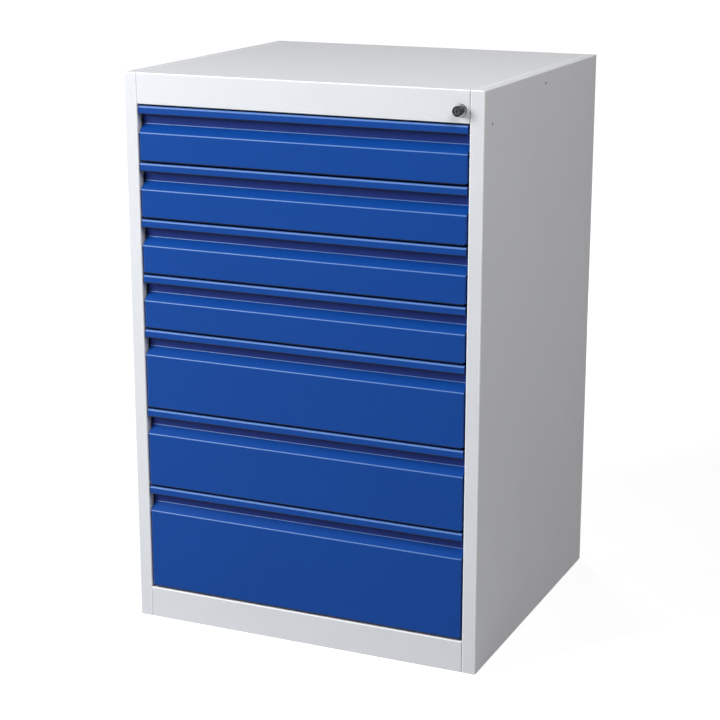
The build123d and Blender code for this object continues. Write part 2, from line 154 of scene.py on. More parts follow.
class DrawerSizes(bpy.types.PropertyGroup):
    """Sizes of a drawer front and its tray."""

    sheet: length("Sheet", "Thickness of the drawers' sheet", 0.0010)
    bend: length("Bend", "Inner radius of the front's bends", 0.0023)
    lip: length("Lip", "Height of the lip over the finger recess", 0.015)
    recess_depth: length("Recess depth", "Depth of the finger recess", 0.016)
    recess_wall: length("Recess wall", "Drop from the front's top to the foot of the recess", 0.0319)
    recess_mouth: length("Recess mouth", "Drop from the front's top to the flat face", 0.0464)
    lip_return: length("Lip return", "Depth of the fold under the lip", 0.005)
    face_return: length("Face return", "Depth of the folds round the flat face", 0.014)
    tray_bend: length("Tray bend", "Outer radius of the tray's bends", 0.0022)
    hem: length("Hem", "Width of the fold along the tray's rim", 0.008)
    foot: length("Foot", "Width of the fold that holds a tray's wall to its floor", 0.010)


class RunnerSizes(bpy.types.PropertyGroup):
    """Sizes of the telescopic runners."""

    sheet: length("Sheet", "Thickness of the runners' sheet", 0.0015)
    race_bend: length("Race bend", "Outer radius of the ball races", 0.0034)
    screw_hole: length("Screw hole", "Radius of the holes in the fixed member", 0.0027)
    lug_sheet: length("Lug sheet", "Thickness of the lug that the lock's hook blocks", 0.0020)
    screw_head: length("Screw head", "Thickness of a pan head", 0.0014)
    screw_shank: length("Screw shank", "Radius of a pan-head screw's shank", 0.0024)
    screw_dome: length("Screw dome", "How far a pan head slopes", 0.0005)
    stop_edge: length("Stop edge", "Rounding of the rubber stops' edges", 0.0008)


class LockSizes(bpy.types.PropertyGroup):
    """Sizes of the lock's turned pieces."""

    barrel: length("Barrel", "Radius of the barrel", 0.0086)
    barrel_edge: length("Barrel edge", "Rounding of the barrel's rim", 0.0012)
    rosette_thick: length("Rosette", "Thickness of the rosette", 0.0025)
    rosette_edge: length("Rosette edge", "Chamfer of the rosette", 0.0008)
    body: length("Body", "Outer radius of the threaded body", 0.0080)
    body_play: length("Body play", "Gap between the body and its hole in the rail", 0.0003)
    thread_depth: length("Thread depth", "Depth of the thread", 0.0005)
    thread_pitch: length("Thread pitch", "Distance from one turn of the thread to the next", 0.0010)
    bore: length("Bore", "Radius of the hole for the plug", 0.0058)
    keyway_width: length("Keyway width", "Width of the key's slot", 0.0022)
    keyway_height: length("Keyway height", "Height of the key's slot", 0.0065)
    keyway_depth: length("Keyway depth", "Depth of the key's slot", 0.009)
    chamfer: length("Chamfer", "Broken edges of the bore, the body and the plug", 0.0004)
    works_edge: length("Works edge", "Rounding of the edges of the nut, cam, bar and guides", 0.0003)


class Finishes(bpy.types.PropertyGroup):
    """Colours of the finishes."""

    housing: colour("Housing", "Light grey powder coat", (0.662, 0.666, 0.690))
    front: colour("Fronts", "Deep blue powder coat", (0.0037, 0.0515, 0.266))
    # Painted highlight: a paler blue for the fronts' bends, standing in for the light that they catch
    front_bend_highlight: colour("Front bends", "The blue coat where it flows thin", (0.140, 0.262, 0.560))
    # Painted shade: a darker blue for the back of the finger recess, where the lip's shade falls
    recess: colour("Recess", "The blue coat at the back of the finger recess", (0.011, 0.030, 0.185))
    tray: colour("Trays", "Grey powder coat inside", (0.560, 0.580, 0.600))
    zinc: colour("Zinc", "Bright zinc plate", (0.560, 0.575, 0.590))
    screw: colour("Screws", "Darkened zinc plate", (0.110, 0.115, 0.120))
    lock: colour("Lock", "Dark nickel", (0.038, 0.040, 0.044))
    # Painted highlight: a bright ring on the rosette's front face, standing in for light on the nickel
    lock_ring_highlight: colour("Lock ring", "Bright nickel round the barrel", (0.620, 0.630, 0.640))
    plug: colour("Plug", "Nickel plate", (0.058, 0.060, 0.063))
    rubber: colour("Rubber", "Black rubber", (0.022, 0.022, 0.024))
    peel: length("Orange peel", "Depth of the powder coat's ripple", 0.00006)
    mottle: share("Mottle", "How much the powder coat's tone varies", 0.05)


class Studio(bpy.types.PropertyGroup):
    """Camera, lamps and floor."""

    camera: spot("Camera", "Place of the camera", (1.33431, -3.03396, 1.35812))
    turn: angle("Turn", "How far the camera looks to the left of straight in", 0.41858)
    tilt: angle("Tilt", "How far the camera looks down", 0.26715)
    lens: bpy.props.FloatProperty(
        name="Lens", description="Focal length in millimetres", default=92.28, min=1.0
    )
    aim: spot("Aim", "Point that the lamps look at", (0.0, 0.0, 0.5))
    lamp_size: length("Lamp size", "Side of each lamp, twice that of the one behind", 1.5)
    key: power("Key", "Power of the lamp at the front left", 102.0)
    key_place: spot("Key place", "Place of the lamp at the front left", (-1.9, -2.2, 2.0))
    key_tint: colour("Key tint", "Colour of the lamp at the front left", (0.955, 0.985, 1.0))
    fill: power("Fill", "Power of the lamp at the front right", 56.0)
    fill_place: spot("Fill place", "Place of the lamp at the front right", (1.7, -1.45, 3.1))
    back: power("Back", "Power of the lamp behind", 32.0)
    back_place: spot("Back place", "Place of the lamp behind", (-1.3, 2.3, 0.55))
    room: share("Room", "Strength of the even light all round", 0.11)
    floor: share("Floor", "Share of light that the floor gives back", 0.50)
    floor_glow: share("Floor glow", "Light that the camera sees from the floor itself near the object", 0.72)
    floor_reach: length("Floor reach", "Distance at which the floor is all white", 2.6)
    floor_side: length("Floor side", "Side of the square floor", 80.0)


SETTINGS = {
    "cabinet_housing": HousingSizes,
    "cabinet_drawers": DrawerSizes,
    "cabinet_runners": RunnerSizes,
    "cabinet_lock": LockSizes,
    "cabinet_finishes": Finishes,
    "cabinet_studio": Studio,
}


# Shapes. A part is its points and a list of face arrays, whose corners go anticlockwise seen from outside.

def rounded(corners, radii):
    """A path with an arc at each inner corner. The arc of radius r starts r tan(turn / 2) before its corner,
    and its points are its centre plus an arm of length r, swung through the turn in equal steps."""
    corners = np.array(corners, float)
    ahead = np.diff(corners, axis=0)
    ahead /= np.linalg.norm(ahead, axis=1)[:, None]
    if np.isscalar(radii):
        radii = [radii] * (len(corners) - 2)
    stretches = [corners[:1]]
    for corner, radius, before, after in zip(corners[1:-1], radii, ahead, ahead[1:]):
        turn = math.atan2(before[0] * after[1] - before[1] * after[0], before @ after)
        start = corner - before * radius * math.tan(abs(turn) / 2)
        arm = np.array([before[1], -before[0]]) * math.copysign(radius, turn)
        swing = np.linspace(0, turn, BEND_STEPS + 1)
        swung = np.stack([
            arm[0] * np.cos(swing) - arm[1] * np.sin(swing),
            arm[0] * np.sin(swing) + arm[1] * np.cos(swing),
        ], axis=1)
        stretches.append(start - arm + swung)
    path = np.vstack([*stretches, corners[-1:]])
    apart = np.linalg.norm(np.diff(path, axis=0), axis=1) > 1e-8
    return path[np.insert(apart, 0, True)]


def sheet_radii(corners, bend, sheet):
    """Radius of a path at each corner, for a sheet on its right: the bend's inner radius where the metal
    lies outside the turn, and one sheet more where it lies inside."""
    steps = np.diff(np.array(corners, float), axis=0)
    turns = steps[:-1, 0] * steps[1:, 1] - steps[:-1, 1] * steps[1:, 0]
    return [bend if turn > 0 else bend + sheet for turn in turns]


def with_points(path, *extra):
    """The path with more points on its straight runs."""
    path = list(map(np.array, path))
    for point in map(np.array, extra):
        detour = [
            np.linalg.norm(point - a) + np.linalg.norm(b - point) - np.linalg.norm(b - a)
            for a, b in zip(path, path[1:])
        ]
        path.insert(int(np.argmin(detour)) + 1, point)
    return np.array(path)


def cell_lines(place, radius, reach=2.6):
    """The two lines that bound a round hole's cell, at so many radii from its middle."""
    return [place - reach * radius, place + reach * radius]


def grid(points, keep=None, holes=()):
    """Quads between the rows and columns of a grid of points, without the cells where keep is False.
    A hole, given as a centre and a radius, is cut in the cell whose middle is nearest to it."""
    rows, columns = points.shape[:2]
    cells = np.ones((rows - 1, columns - 1), bool) if keep is None else keep.copy()
    corners = np.stack([points[:-1, :-1], points[1:, :-1], points[1:, 1:], points[:-1, 1:]], axis=2)
    patches = []
    for centre, radius in holes:
        distance = np.linalg.norm(corners.mean(axis=2) - centre, axis=-1)
        i, j = np.unravel_index(np.argmin(distance), distance.shape)
        cells[i, j] = False
        patches.append(pierced(corners[i, j], np.array(centre, float), radius))
    index = np.arange(rows * columns).reshape(rows, columns)
    quads = np.stack([index[:-1, :-1], index[1:, :-1], index[1:, 1:], index[:-1, 1:]], axis=-1)[cells]
    return combine([(points.reshape(-1, 3), [quads]), *patches])


def pierced(corners, centre, radius):
    """A rectangular cell with a round hole: from each corner a fan to its quarter of the circle,
    and on each side a triangle to the circle's nearest point."""
    quarter = ROUND_STEPS // 8
    around = 4 * quarter
    sideways, upright = corners[1] - corners[0], corners[3] - corners[0]
    sideways, upright = sideways / np.linalg.norm(sideways), upright / np.linalg.norm(upright)
    step = np.arange(around)
    swing = (math.pi + step * 2 * math.pi / around)[:, None]
    circle = centre + radius * (np.cos(swing) * sideways + np.sin(swing) * upright)
    fans = np.stack([step // quarter, 4 + (step + 1) % around, 4 + step], axis=-1)
    side = np.arange(4)
    gores = np.stack([side, (side + 1) % 4, 4 + ((side + 1) * quarter) % around], axis=-1)
    return np.vstack([corners, circle]), [fans, gores]


def combine(parts):
    """One part from several."""
    offset, points, faces = 0, [], []
    for part_points, part_faces in parts:
        points.append(part_points)
        faces += [face + offset for face in part_faces]
        offset += len(part_points)
    return np.vstack(points), faces


def weld(part):
    """Joins points at the same place, to a ten-thousandth of a millimetre, and drops unused ones."""
    points, faces = part
    used = np.unique(np.concatenate([face.ravel() for face in faces]))
    _, first, back = np.unique(np.round(points[used], 7), axis=0, return_index=True, return_inverse=True)
    place = np.zeros(len(points), int)
    place[used] = back.reshape(-1)
    return points[used[first]], [place[face] for face in faces]


def area_vectors(points, faces):
    """For each face, its normal times twice its area: the cross product of a quad's diagonals
    or of two of a triangle's sides."""
    found = []
    for face in faces:
        corner = points[face]
        if face.shape[1] == 4:
            found.append(np.cross(corner[:, 2] - corner[:, 0], corner[:, 3] - corner[:, 1]))
        else:
            found.append(np.cross(corner[:, 1] - corner[:, 0], corner[:, 2] - corner[:, 0]))
    return found


def shell(part, thickness):
    """A closed sheet: the surface, its copy moved in by the thickness times each point's normal, and a rim.
    A point's normal is the sum of its faces' area vectors, made one long."""
    points, faces = weld(part)
    normals = np.zeros_like(points)
    for face, vectors in zip(faces, area_vectors(points, faces)):
        for corner in range(face.shape[1]):
            np.add.at(normals, face[:, corner], vectors)
    long = np.linalg.norm(normals, axis=1)[:, None]
    inner = points - normals / np.where(long > 0, long, 1) * thickness

    count = len(points)
    sides = [np.stack([face, np.roll(face, -1, axis=1)], axis=-1) for face in faces]
    edges = np.vstack([pairs.reshape(-1, 2) for pairs in sides])
    forward = edges[:, 0] * count + edges[:, 1]
    backward = edges[:, 1] * count + edges[:, 0]
    free = edges[~np.isin(forward, backward)]
    rim = np.stack([free[:, 1], free[:, 0], free[:, 0] + count, free[:, 1] + count], axis=1)
    return np.vstack([points, inner]), faces + [face[:, ::-1] + count for face in faces] + [rim]


def turn_over(part):
    """The same surface facing the other way."""
    points, faces = part
    return points, [face[:, ::-1] for face in faces]


def mirrored(part):
    """The part on the other side of the cabinet, still facing outwards."""
    points, faces = turn_over(part)
    return points * np.array([-1.0, 1.0, 1.0]), faces


def both_sides(part):
    """The right-hand part and its mirror image."""
    return [part, mirrored(part)]


def carried(path, stations, axis, metal_right, keep=None, holes=()):
    """The outer face of a bent sheet: a surface of two parameters, the distance along the path and the place
    along the axis. The path's two coordinates are the other axes, in order. metal_right tells on which side
    of the path the metal lies, seen from the right, the front or above."""
    across = [i for i in range(3) if i != axis]
    points = np.empty((len(path), len(stations), 3))
    points[..., across] = path[:, None, :]
    points[..., axis] = stations
    surface = grid(points, keep, holes)
    return turn_over(surface) if metal_right == (axis != 1) else surface


def bent(path, stations, axis, sheet, metal_right, holes=()):
    """A closed bent sheet."""
    return shell(carried(path, stations, axis, metal_right, holes=holes), sheet)


def slab(low, high):
    """A plain block between two corners."""
    x, y, z = np.array([low, high], float).T
    path = np.array([(x[0], z[0]), (x[1], z[0])])
    return bent(path, y, 1, z[1] - z[0], metal_right=False)


def face_out(part):
    """Turns a closed part over if its volume is negative: the sum of each face's place times its area."""
    points, faces = part
    middle = points.mean(axis=0)
    volume = sum(
        ((points[face[:, 0]] - middle) * vectors).sum()
        for face, vectors in zip(faces, area_vectors(points, faces))
    )
    return part if volume > 0 else turn_over(part)


def spun(profile, origin, axis, direction=1.0):
    """Rings round a line. Each row of the profile is a depth along the line and a radius, which may change
    round the ring: point = origin + depth * line + radius * (cos a, sin a) across it."""
    across = np.eye(3)[[i for i in range(3) if i != axis]]
    swing = np.arange(ROUND_STEPS) * 2 * math.pi / ROUND_STEPS
    spokes = np.cos(swing)[:, None] * across[0] + np.sin(swing)[:, None] * across[1]
    line = np.eye(3)[axis] * direction
    return np.array([
        origin + depth * line + np.broadcast_to(radius, ROUND_STEPS)[:, None] * spokes
        for depth, radius in profile
    ])


def strips_between(rows, closed):
    """Quads from each ring of points to the next, and from the last to the first if closed."""
    index = np.arange(rows.shape[0] * rows.shape[1]).reshape(rows.shape[:2])
    after, below = np.roll(index, -1, axis=1), np.roll(index, -1, axis=0)
    quads = np.stack([index, after, np.roll(below, -1, axis=1), below], axis=-1)
    return (quads if closed else quads[:-1]).reshape(-1, 4)


def solid_of_rings(rows):
    """A closed skin through rings of points, with a fan to the middle of the first and the last ring."""
    count, around = rows.shape[:2]
    first, last = np.arange(around), np.arange(around) + (count - 1) * around
    fans = [
        np.stack([np.roll(first, -1), first, np.full(around, count * around)], axis=-1),
        np.stack([last, np.roll(last, -1), np.full(around, count * around + 1)], axis=-1),
    ]
    points = np.vstack([rows.reshape(-1, 3), rows[0].mean(axis=0), rows[-1].mean(axis=0)])
    return face_out((points, [strips_between(rows, closed=False), *fans]))


def tube_of_rings(rows):
    """A closed skin round a bore: rings of points whose last ring joins the first."""
    return face_out((rows.reshape(-1, 3), [strips_between(rows, closed=True)]))


def solids(node):
    """Lowest and highest corner of each separate solid in a CAD node. Every point starts with its own label,
    and the points of each face take the lowest of their labels until nothing changes."""
    mesh = NODES[node].data
    points = np.empty(len(mesh.vertices) * 3)
    mesh.vertices.foreach_get("co", points)
    place = np.array(NODES[node].matrix_world)
    points = points.reshape(-1, 3) @ place[:3, :3].T + place[:3, 3]
    corners = np.empty(len(mesh.loops), np.int32)
    mesh.loops.foreach_get("vertex_index", corners)
    _, same = np.unique(np.round(points, 6), axis=0, return_inverse=True)
    same = same.reshape(-1)
    triangles = same[corners].reshape(-1, 3)
    label, before = np.arange(same.max() + 1), None
    while before is None or (label != before).any():
        before = label.copy()
        np.minimum.at(label, triangles, before[triangles].min(axis=1)[:, None])
    owner = label[same]
    return [(points[owner == one].min(axis=0), points[owner == one].max(axis=0)) for one in np.unique(owner)]


def bend_share(points, faces):
    """1 at points that only have narrow faces, so inside a bend, and 0 at the others, so all over a flat.
    A face is as narrow as its shortest side."""
    share_of = np.ones(len(points))
    for face in faces:
        corner = points[face]
        sides = np.linalg.norm(np.roll(corner, -1, axis=1) - corner, axis=2)
        wide = (sides.min(axis=1) > NARROW).nonzero()[0]
        share_of[face[wide]] = 0.0
    return share_of


def put(name, parts, material, node):
    """Makes one mesh object of the parts. It stands for the CAD node, rides on its body and keeps to its
    box."""
    points, faces = combine([weld(part) for part in parts])
    low, high = np.array(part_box(node))
    if (points.min(axis=0) < low - SLACK).any() or (points.max(axis=0) > high + SLACK).any():
        raise RuntimeError(f"{name} leaves the box of {node}: {points.min(axis=0)} to {points.max(axis=0)}")
    mesh = bpy.data.meshes.new(name)
    outlines = [list(dict.fromkeys(corners)) for face in faces for corners in face.tolist()]
    mesh.from_pydata(points.tolist(), [], [outline for outline in outlines if len(outline) > 2])
    mesh.attributes.new("bend", "FLOAT", "POINT").data.foreach_set("value", bend_share(points, faces))
    mesh.materials.append(material)
    mesh.polygons.foreach_set("use_smooth", np.ones(len(mesh.polygons), bool))
    mesh.set_sharp_from_angle(angle=SHARP)
    mesh.update()
    piece = bpy.data.objects.new(name, mesh)
    bpy.context.scene.collection.objects.link(piece)
    flat = piece.modifiers.new("Flat faces stay flat", "WEIGHTED_NORMAL")
    flat.keep_sharp = True
    flat.weight = 90
    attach(piece, NODES[node]["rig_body"])
    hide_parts(node)


def dress(node, material, width):
    """Gives a CAD node its finish and small rounded edges."""
    piece = NODES[node]
    for slot in piece.material_slots:
        slot.material = material
    merged = piece.modifiers.new("One skin", "WELD")
    merged.merge_threshold = 0.00001
    edge = piece.modifiers.new("Broken edges", "BEVEL")
    edge.width = width
    edge.segments = 2
    edge.limit_method = "ANGLE"
    edge.angle_limit = CAD_SHARP
    edge.harden_normals = True


# Finishes: node groups that the materials share, then one function for each material

GREY = (0.6, 0.6, 0.6, 1.0)


def node_group(name, inputs, outputs):
    """An empty shader group with its sockets. Each input has a default and each output a like value, which
    tell the kind of the socket: a number, a vector of three or a colour of four."""
    kinds = {1: "NodeSocketFloat", 3: "NodeSocketVector", 4: "NodeSocketColor"}
    tree = bpy.data.node_groups.new(name, "ShaderNodeTree")
    for way, sockets in (("INPUT", inputs), ("OUTPUT", outputs)):
        for title, value in sockets.items():
            kind = kinds[np.size(value)]
            tree.interface.new_socket(name=title, in_out=way, socket_type=kind).default_value = value
    return tree, tree.nodes.new("NodeGroupInput").outputs, tree.nodes.new("NodeGroupOutput").inputs


def add(tree, kind, inputs=(), **settings):
    """A node with its settings and its inputs, each of them a value or a socket to link from."""
    node = tree.nodes.new(kind)
    for key, value in settings.items():
        setattr(node, key, value)
    for key, value in dict(inputs).items():
        if isinstance(value, bpy.types.NodeSocket):
            tree.links.new(value, node.inputs[key])
        else:
            node.inputs[key].default_value = value
    return node


def maths(operation, *values, clamp=False):
    """The output of a math node, in the tree of the first value that is a socket."""
    tree = next(value.id_data for value in values if isinstance(value, bpy.types.NodeSocket))
    node = add(tree, "ShaderNodeMath", enumerate(values), operation=operation, use_clamp=clamp)
    return node.outputs[0]


def plus(first, second, clamp=False):
    """The sum of two values."""
    return maths("ADD", first, second, clamp=clamp)


def minus(first, second):
    """The first value less the second."""
    return maths("SUBTRACT", first, second)


def times(first, second, clamp=False):
    """The product of two values."""
    return maths("MULTIPLY", first, second, clamp=clamp)


def weighted(*pairs):
    """The sum of several sockets, each times its weight."""
    total = 0.0
    for socket, weight in pairs:
        total = plus(times(socket, weight), total)
    return total


def vector_maths(operation, *vectors, output="Vector"):
    """An output of a vector math node, whose first vector is a socket."""
    node = add(vectors[0].id_data, "ShaderNodeVectorMath", enumerate(vectors), operation=operation)
    return node.outputs[output]


def coordinate(vector, letter):
    """One coordinate of a vector."""
    return add(vector.id_data, "ShaderNodeSeparateXYZ", {0: vector}).outputs[letter]


def noise(place, scale, detail, roughness=0.5):
    """Smooth noise from 0 to 1, at a scale in waves per metre."""
    return add(place.id_data, "ShaderNodeTexNoise", {
        "Vector": place, "Scale": scale, "Detail": detail, "Roughness": roughness,
    }).outputs["Fac"]


def blend_colours(factor, first, second):
    """The first colour where the factor is 0, and the second where it is 1."""
    inputs = {0: factor, 6: first, 7: second}
    return add(factor.id_data, "ShaderNodeMix", inputs, data_type="RGBA").outputs[2]


def object_place(tree):
    """Object coordinates, which are metres in the frame."""
    return add(tree, "ShaderNodeTexCoord").outputs["Object"]


def powder_coat_group():
    """Powder coat: a slow change of tone, fine specks and a ripple like orange peel. The coat is pale on
    worn edges and glossy in all bends; a painted highlight makes bends pale, and painted shade darkens bends
    that face down. Behind a depth, as at the back of a recess, painted shade gives the coat a darker colour."""
    tree, given, made = node_group("Powder coat", {
        "Color": GREY, "Edge Color": GREY, "Mottle": 0.05, "Specks": 0.06, "Roughness": 0.4,
        "Edge Width": 0.0012, "Edge Wear": 0.35, "Bend Gloss": 0.5, "Bend Wear": 0.5, "Upright Bends": 1.0,
        "Underside Shade": 0.2, "Deep Color": GREY, "Deep Start": 9.0,
    }, {"Color": GREY, "Roughness": 0.4, "Height": 0.0, "Coat": 0.0})
    place = object_place(tree)

    # Waves per metre
    clouds, patches, grains, chips, ripple, pits = 5.5, 60.0, 900.0, 210.0, 420.0, 1500.0
    tone = weighted((noise(place, clouds, 3.0), 0.6), (noise(place, patches, 3.0), 0.4))
    tone = times(minus(tone, 0.5), given["Mottle"])
    speck = times(minus(noise(place, grains, 1.0), 0.5), given["Specks"])
    value = plus(weighted((tone, 2.0), (speck, 1.0)), 1.0)

    # Painted shade: bends that face down are darker
    true_normal = add(tree, "ShaderNodeNewGeometry").outputs["Normal"]
    up = times(coordinate(true_normal, "Z"), 2.5)
    bend = add(tree, "ShaderNodeAttribute", attribute_name="bend").outputs["Fac"]
    under = times(bend, times(up, -1.0, clamp=True))
    value = times(value, minus(1.0, times(under, given["Underside Shade"])))

    # Painted shade: behind the deep start, as at the back of the finger recess, the coat takes a darker
    # colour, which comes in over a millimetre
    deep = times(minus(coordinate(place, "Y"), given["Deep Start"]), 1000.0, clamp=True)
    coat = blend_colours(deep, given["Color"], given["Deep Color"])
    toned = add(tree, "ShaderNodeHueSaturation", {"Color": coat, "Value": value}).outputs[0]

    # Edges: where the true normal and one smoothed over the edge's width part company
    smoothed = add(tree, "ShaderNodeBevel", {"Radius": given["Edge Width"]}, samples=4).outputs[0]
    alike = vector_maths("DOT_PRODUCT", smoothed, true_normal, output="Value")
    apart = times(minus(1.0, alike), 6.0, clamp=True)
    broken = times(apart, times(noise(place, chips, 4.0, 0.7), 1.7))
    wear_and_highlight_mask = times(broken, given["Edge Wear"], clamp=True)

    # Bends: the coat is glossy in all of them, and a painted highlight makes them pale, most of all where
    # they face up
    tree.links.new(times(bend, given["Bend Gloss"]), made["Coat"])
    # Painted highlight: the pale colour in bends stands in for light caught on their rounding
    facing = plus(up, given["Upright Bends"], clamp=True)
    thin = times(times(bend, facing), given["Bend Wear"])
    wear_and_highlight_mask = maths("MAXIMUM", wear_and_highlight_mask, thin)
    tree.links.new(blend_colours(wear_and_highlight_mask, toned, given["Edge Color"]), made["Color"])
    gloss = plus(given["Roughness"], weighted((tone, 0.8), (wear_and_highlight_mask, 0.1)))
    tree.links.new(gloss, made["Roughness"])
    peel = weighted((noise(place, ripple, 1.5), 0.8), (noise(place, pits, 1.0), 0.2))
    tree.links.new(peel, made["Height"])
    return tree


def plated_group():
    """Plated steel: rolling lines, soft crystals, the tint of the passivation, stains, and a painted
    highlight ring on a turned piece."""
    tree, given, made = node_group("Plated steel", {
        "Color": GREY, "Tint Color": (0.62, 0.60, 0.52, 1.0), "Tint": 0.3, "Roughness": 0.3,
        "Ring Color": GREY, "Ring Centre": (0.0, 0.0, 0.0), "Ring Radius": 0.0, "Ring Width": 0.0,
    }, {"Color": GREY, "Roughness": 0.3, "Height": 0.0})
    place = object_place(tree)

    # The painted highlight ring: places behind its centre that are no more than half its width from its
    # radius
    off = vector_maths("SUBTRACT", place, given["Ring Centre"])
    behind = maths("GREATER_THAN", coordinate(off, "Y"), 0.0)
    spoke = vector_maths("LENGTH", vector_maths("MULTIPLY", off, (1.0, 0.0, 1.0)), output="Value")
    miss = maths("ABSOLUTE", minus(spoke, given["Ring Radius"]))
    ring = times(behind, maths("LESS_THAN", miss, times(given["Ring Width"], 0.5)))

    # The plate, in waves per metre. The rolling lines are fifty times as long as they are wide.
    rolling, crystals, stains = 1300.0, 160.0, 24.0
    drawn = add(tree, "ShaderNodeMapping", {"Vector": place, "Scale": (1.0, 0.02, 1.0)}).outputs[0]
    lines = noise(drawn, rolling, 3.0, 0.6)
    cells = add(tree, "ShaderNodeTexVoronoi", {"Vector": place, "Scale": crystals}).outputs["Color"]
    crystal = add(tree, "ShaderNodeSeparateColor", {0: cells}).outputs[0]
    stain = noise(place, stains, 4.0, 0.6)
    tinted = blend_colours(times(stain, given["Tint"], clamp=True), given["Color"], given["Tint Color"])
    plate = blend_colours(ring, tinted, given["Ring Color"])
    value = plus(weighted((lines, 0.16), (crystal, 0.10)), 0.87)
    toned = add(tree, "ShaderNodeHueSaturation", {"Color": plate, "Value": value}).outputs[0]
    tree.links.new(toned, made["Color"])
    gloss = plus(given["Roughness"], weighted((stain, 0.12), (lines, 0.06)))
    tree.links.new(minus(gloss, 0.08), made["Roughness"])
    tree.links.new(lines, made["Height"])
    return tree


GROUPS = {"Powder coat": powder_coat_group, "Plated steel": plated_group}


def finish(name, group, inputs, depth, **constants):
    """A material whose colour, roughness and bump, of a depth in metres, come from a shared group. Constants
    are set on the shader."""
    if name in bpy.data.materials:
        return bpy.data.materials[name]
    material = bpy.data.materials.new(name)
    material.use_nodes = True
    tree = material.node_tree
    shader = tree.nodes["Principled BSDF"]
    for key, value in constants.items():
        shader.inputs[key.replace("_", " ")].default_value = value
    shared = bpy.data.node_groups.get(group) or GROUPS[group]()
    effect = add(tree, "ShaderNodeGroup", node_tree=shared)
    for key, value in inputs.items():
        effect.inputs[key].default_value = value
    relief = {"Height": effect.outputs["Height"], "Strength": 0.5, "Distance": depth}
    bump = add(tree, "ShaderNodeBump", relief)
    tree.links.new(effect.outputs["Color"], shader.inputs["Base Color"])
    tree.links.new(effect.outputs["Roughness"], shader.inputs["Roughness"])
    if "Coat" in effect.outputs:
        tree.links.new(effect.outputs["Coat"], shader.inputs["Coat Weight"])
    tree.links.new(bump.outputs["Normal"], shader.inputs["Normal"])
    return material


def opaque(rgb):
    """The colour with full alpha."""
    return (*rgb, 1.0)


def paler(rgb, gain):
    """The colour moved towards white by a share."""
    return (*(part + (1.0 - part) * gain for part in rgb), 1.0)


def housing_paint():
    look = bpy.context.scene.cabinet_finishes
    # The pale colour in bends is a painted highlight along the rounded edges and beside the seams
    return finish("Housing paint", "Powder coat", {
        "Color": opaque(look.housing), "Edge Color": paler(look.housing, 0.5), "Mottle": look.mottle,
        "Specks": 0.05, "Roughness": 0.48, "Edge Width": 0.0015, "Edge Wear": 0.25, "Bend Gloss": 0.3,
        "Bend Wear": 1.0,
    }, look.peel, Specular_IOR_Level=0.20, Coat_Roughness=0.20)


def front_paint():
    look, sizes = bpy.context.scene.cabinet_finishes, bpy.context.scene.cabinet_drawers
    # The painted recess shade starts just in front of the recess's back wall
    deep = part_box("drawer_1_front")[0][1] + 0.9 * sizes.recess_depth
    # The fronts' pale bend colour is a painted highlight, only in bends that face up
    return finish("Front paint", "Powder coat", {
        "Color": opaque(look.front), "Edge Color": opaque(look.front_bend_highlight), "Mottle": look.mottle * 1.6,
        "Specks": 0.12, "Roughness": 0.35, "Edge Width": 0.0015, "Edge Wear": 0.10, "Bend Gloss": 0.15,
        "Bend Wear": 0.70, "Upright Bends": 0.0, "Underside Shade": 0.85,
        "Deep Color": opaque(look.recess), "Deep Start": deep,
    }, look.peel, Specular_IOR_Level=0.12, Coat_Roughness=0.20)


def tray_paint():
    look = bpy.context.scene.cabinet_finishes
    # The pale colour in bends is a painted highlight
    return finish("Tray paint", "Powder coat", {
        "Color": opaque(look.tray), "Edge Color": paler(look.tray, 0.3), "Mottle": look.mottle * 1.4,
        "Specks": 0.07, "Roughness": 0.50, "Edge Width": 0.0012, "Edge Wear": 0.35, "Bend Gloss": 0.2,
        "Bend Wear": 0.4,
    }, look.peel, Specular_IOR_Level=0.30, Coat_Roughness=0.20)


def zinc_steel():
    look = bpy.context.scene.cabinet_finishes
    return finish("Zinc steel", "Plated steel", {
        "Color": opaque(look.zinc), "Tint": 0.30, "Roughness": 0.34,
    }, depth=0.00003, Metallic=1.0)


def screw_steel():
    look = bpy.context.scene.cabinet_finishes
    return finish("Screw steel", "Plated steel", {
        "Color": opaque(look.screw), "Tint Color": (0.10, 0.095, 0.08, 1.0), "Tint": 0.4, "Roughness": 0.40,
    }, depth=0.00003, Metallic=1.0)


def lock_metal():
    look, sizes = bpy.context.scene.cabinet_finishes, bpy.context.scene.cabinet_lock
    low, high = np.array(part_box("lock_housing"))
    centre, outer = (low + high) / 2, (high - low)[0] / 2 - sizes.rosette_edge
    centre[1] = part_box("top_panel")[0][1] - sizes.rosette_thick - SLACK
    # The ring is a painted highlight on the rosette's front face
    return finish("Lock metal", "Plated steel", {
        "Color": opaque(look.lock), "Tint Color": (0.05, 0.048, 0.045, 1.0), "Tint": 0.2, "Roughness": 0.26,
        "Ring Color": opaque(look.lock_ring_highlight), "Ring Centre": centre,
        "Ring Radius": (outer + sizes.barrel) / 2, "Ring Width": outer - sizes.barrel,
    }, depth=0.00001, Metallic=1.0)


def plug_metal():
    look = bpy.context.scene.cabinet_finishes
    return finish("Plug metal", "Plated steel", {
        "Color": opaque(look.plug), "Tint Color": (0.16, 0.155, 0.14, 1.0), "Tint": 0.2, "Roughness": 0.30,
    }, depth=0.00001, Metallic=1.0)


def stop_rubber():
    look = bpy.context.scene.cabinet_finishes
    return finish("Stop rubber", "Powder coat", {
        "Color": opaque(look.rubber), "Edge Color": paler(look.rubber, 0.05), "Mottle": 0.2,
        "Specks": 0.25, "Roughness": 0.75, "Edge Width": 0.001, "Edge Wear": 0.4, "Bend Gloss": 0.0,
        "Bend Wear": 0.0,
    }, depth=0.0001)


# Pieces

def seam_behind_side():
    """Where a side panel stops in front of the back panel's wrap."""
    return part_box("back_panel")[0][1] - bpy.context.scene.cabinet_housing.seam


